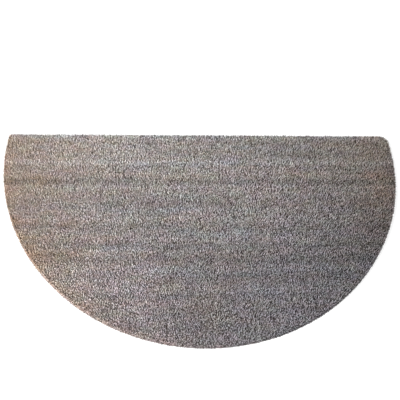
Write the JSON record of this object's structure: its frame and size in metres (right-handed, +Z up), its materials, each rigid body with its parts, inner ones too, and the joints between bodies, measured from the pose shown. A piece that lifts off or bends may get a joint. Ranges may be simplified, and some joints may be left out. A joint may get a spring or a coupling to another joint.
{
  "type": "coir doormat",
  "caption": "Flat half-moon doormat of short cut coir pile, straight along the back, round at the front, with a plain cut edge and soft lengthwise ridges.",
  "frame": {"origin": "middle of the mat's box, on the floor under the mat", "axes": "+X along the straight back edge, +Y towards that edge, +Z up through the pile"},
  "size_m": [0.7, 0.4, 0.0158],
  "materials": {
    "coir": "matt cut pile of weathered coconut fibre"
  },
  "bodies": {
    "root": {"coir_mat": "coir"}
  },
  "joints": []
}
